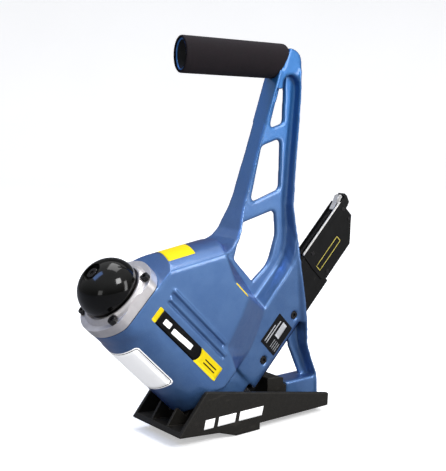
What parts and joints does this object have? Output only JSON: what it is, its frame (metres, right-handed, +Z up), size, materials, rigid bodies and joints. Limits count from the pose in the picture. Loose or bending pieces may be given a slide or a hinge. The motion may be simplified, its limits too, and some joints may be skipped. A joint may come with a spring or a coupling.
{
  "type": "flooring nailer",
  "caption": "Mallet-struck pneumatic flooring nailer with a slanted barrel, windowed cast arm, foam grip, hooked shoe and rear staple magazine.",
  "frame": {"origin": "where the staple leaves the tool: the corner between the sole (z = 0) and the rear face of the hooking lip (x = 0), on the middle plane (y = 0)", "axes": "+X towards the operator, +Y to the operator's right (the air inlet side), +Z up from the floor"},
  "size_m": [0.4075, 0.126, 0.4735],
  "materials": {
    "blue_paint": "metallic steel-blue paint on a casting",
    "shoe_paint": "dark textured paint on cast iron",
    "sole_steel": "worn flat",
    "zinc_screws": "zinc plated",
    "black_screws": "black oxide",
    "head_aluminium": "satin turned",
    "inner_aluminium": "machined",
    "cap_black": "glossy",
    "seal_rubber": "smooth",
    "bumper_urethane": "urethane",
    "ground_steel": "ground",
    "spring_steel": "bright",
    "magazine_black": "satin black",
    "bright_strip": "bright",
    "end_cap_plastic": "moulded",
    "tab_chrome": "polished",
    "grip_foam": "closed-cell foam",
    "inlet_brass": "turned",
    "plug_steel": "nickel plated",
    "plate_black": "printed blank plate"
  },
  "bodies": {
    "tool": {"base_shoe": "shoe_paint", "sole_plate": "sole_steel", "sole_screws": "zinc_screws", "shoe_bolts": "black_screws", "frame_casting": "blue_paint", "cylinder_head": "head_aluminium", "head_screws": "black_screws", "head_gasket": "seal_rubber", "valve_spring": "spring_steel", "stem_seal": "seal_rubber", "cylinder_sleeve": "inner_aluminium", "sleeve_seals": "seal_rubber", "bumper": "bumper_urethane", "nose_guide": "ground_steel", "front_gate": "ground_steel", "nose_screws": "black_screws", "magazine_channel": "magazine_black", "magazine_near_plate": "magazine_black", "magazine_far_plate": "magazine_black", "magazine_spacer": "magazine_black", "plate_rivets": "black_screws", "staple_core": "ground_steel", "guide_strip": "bright_strip", "top_cover": "magazine_black", "magazine_end_cap": "end_cap_plastic", "pusher_spring": "spring_steel", "spring_pin": "ground_steel", "magazine_screws": "black_screws", "foam_grip": "grip_foam", "air_bushing": "inlet_brass", "air_plug": "plug_steel", "nameplate": "plate_black"},
    "strike": {"strike_cap": "cap_black", "cap_screw": "black_screws", "valve_stem": "ground_steel", "valve_disc": "seal_rubber"},
    "driver": {"piston": "inner_aluminium", "piston_ring": "seal_rubber", "driver_blade": "ground_steel", "blade_pin": "ground_steel"},
    "follower": {"pusher": "ground_steel", "pusher_tab": "tab_chrome"}
  },
  "joints": [
    {"name": "strike_slide", "type": "slide", "parent": "tool", "child": "strike", "axis": [0.7071, 0, -0.7071], "range_m": [0, 0.009], "stiffness_N_per_m": 2500, "springref_m": -0.006, "deforming": ["valve_spring"]},
    {"name": "driver_slide", "type": "slide", "parent": "tool", "child": "driver", "axis": [0.7071, 0, -0.7071], "range_m": [0, 0.066]},
    {"name": "pusher_slide", "type": "slide", "parent": "tool", "child": "follower", "axis": [-0.7071, 0, -0.7071], "range_m": [0, 0.25]}
  ]
}
